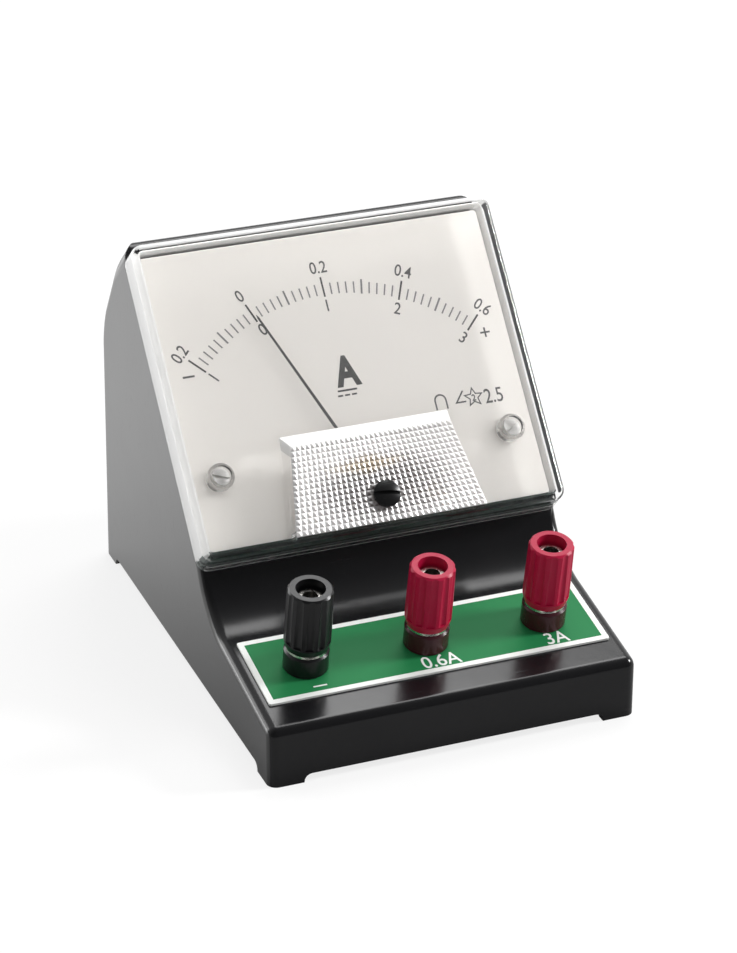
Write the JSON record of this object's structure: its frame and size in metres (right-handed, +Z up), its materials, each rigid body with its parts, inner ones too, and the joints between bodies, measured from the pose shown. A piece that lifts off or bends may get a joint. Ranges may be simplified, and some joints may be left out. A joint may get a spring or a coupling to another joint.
{
  "type": "moving-coil bench ammeter",
  "caption": "Bench ammeter with a sloping clear window, an arc scale with a zero left of centre, a moving-coil movement and fluted binding posts on its deck.",
  "frame": {"origin": "on the table, under the middle of the case's bounding box", "axes": "+X to the right of the dial, +Y from the posts to the back, +Z up"},
  "size_m": [0.0988, 0.134, 0.1036],
  "materials": {
    "case_black": "glossy black moulding",
    "cover_black": "plain black sheet",
    "clear_plastic": "clear moulded plastic",
    "steel": "bright steel",
    "nickel": "nickel plate",
    "brass": "turned brass",
    "iron": "soft iron, blued",
    "magnet_grey": "dark magnet alloy",
    "aluminium": "rolled sheet",
    "dial_white": "matt white enamel",
    "label_green": "green printed plate",
    "pointer_black": "matt black paint",
    "copper": "enamelled copper wire",
    "manganin": "resistance alloy",
    "post_black": "black moulding",
    "post_red": "crimson moulding",
    "insulation": "soft insulation"
  },
  "bodies": {
    "case": {"case": "case_black", "bottom_cover": "cover_black", "bottom_screws": "steel", "front_cover": "clear_plastic", "cover_screws": "nickel", "label_plate": "label_green", "dial_plate": "dial_white", "dial_screws": "brass", "movement_plate": "aluminium", "plate_screws": "steel", "pole_pieces": "iron", "pole_screws": "steel", "magnet": "magnet_grey", "core": "iron", "core_support": "brass", "upper_bridge": "brass", "lower_bridge": "brass", "bridge_screws": "steel", "upper_jewel_screw": "brass", "lower_jewel_screw": "brass", "jewel_nuts": "brass", "lower_spring_lug": "brass", "pointer_stops": "brass", "collar_left": "post_black", "collar_middle": "post_red", "collar_right": "post_red", "stud_left": "nickel", "stud_middle": "nickel", "stud_right": "nickel", "post_washers": "cover_black", "solder_lugs": "nickel", "post_nuts": "brass", "shunt_strip": "manganin", "shunt_coil": "manganin", "movement_leads": "insulation"},
    "zero_adjuster": {"zero_adjuster": "case_black"},
    "zero_lever": {"zero_lever": "brass"},
    "coil": {"coil_former": "aluminium", "coil_winding": "copper", "upper_pivot": "brass", "lower_pivot": "brass", "pointer": "pointer_black", "balance_weights": "brass", "upper_hairspring": "nickel", "lower_hairspring": "nickel"},
    "insert_left": {"insert_left": "brass"},
    "cap_left": {"cap_left": "post_black"},
    "insert_middle": {"insert_middle": "brass"},
    "cap_middle": {"cap_middle": "post_red"},
    "insert_right": {"insert_right": "brass"},
    "cap_right": {"cap_right": "post_red"}
  },
  "joints": [
    {"name": "zero_adjust", "type": "hinge", "parent": "case", "child": "zero_adjuster", "pos_m": [0, -0.0129, 0.04303], "axis": [0, -0.7547, 0.6561], "range_deg": [-45, 45]},
    {"name": "zero_lever_turn", "type": "hinge", "parent": "case", "child": "zero_lever", "pos_m": [0, -0.00948, 0.04695], "axis": [0, -0.7547, 0.6561], "range_deg": [-6, 6]},
    {"name": "pointer_swing", "type": "hinge", "parent": "zero_lever", "child": "coil", "pos_m": [0, -0.00948, 0.04695], "axis": [0, 0.7547, -0.6561], "range_deg": [-24, 69], "stiffness_Nm_per_rad": 0.00002},
    {"name": "lift_left", "type": "slide", "parent": "case", "child": "insert_left", "axis": [0, -0.1788, 0.9839], "range_m": [0, 0.00375]},
    {"name": "turn_left", "type": "hinge", "parent": "insert_left", "child": "cap_left", "pos_m": [-0.032, -0.04645, 0.02014], "axis": [0, -0.1788, 0.9839], "range_deg": [0, 1805]},
    {"name": "lift_middle", "type": "slide", "parent": "case", "child": "insert_middle", "axis": [0, -0.1788, 0.9839], "range_m": [0, 0.00375]},
    {"name": "turn_middle", "type": "hinge", "parent": "insert_middle", "child": "cap_middle", "pos_m": [0, -0.04645, 0.02014], "axis": [0, -0.1788, 0.9839], "range_deg": [0, 1805]},
    {"name": "lift_right", "type": "slide", "parent": "case", "child": "insert_right", "axis": [0, -0.1788, 0.9839], "range_m": [0, 0.00375]},
    {"name": "turn_right", "type": "hinge", "parent": "insert_right", "child": "cap_right", "pos_m": [0.032, -0.04645, 0.02014], "axis": [0, -0.1788, 0.9839], "range_deg": [0, 1805]}
  ],
  "couplings": [
    {"joint": "zero_lever_turn", "follows": "zero_adjust", "ratio": 0.114},
    {"joint": "turn_left", "follows": "lift_left", "rad_per_m": 8377.6},
    {"joint": "turn_middle", "follows": "lift_middle", "rad_per_m": 8377.6},
    {"joint": "turn_right", "follows": "lift_right", "rad_per_m": 8377.6}
  ]
}
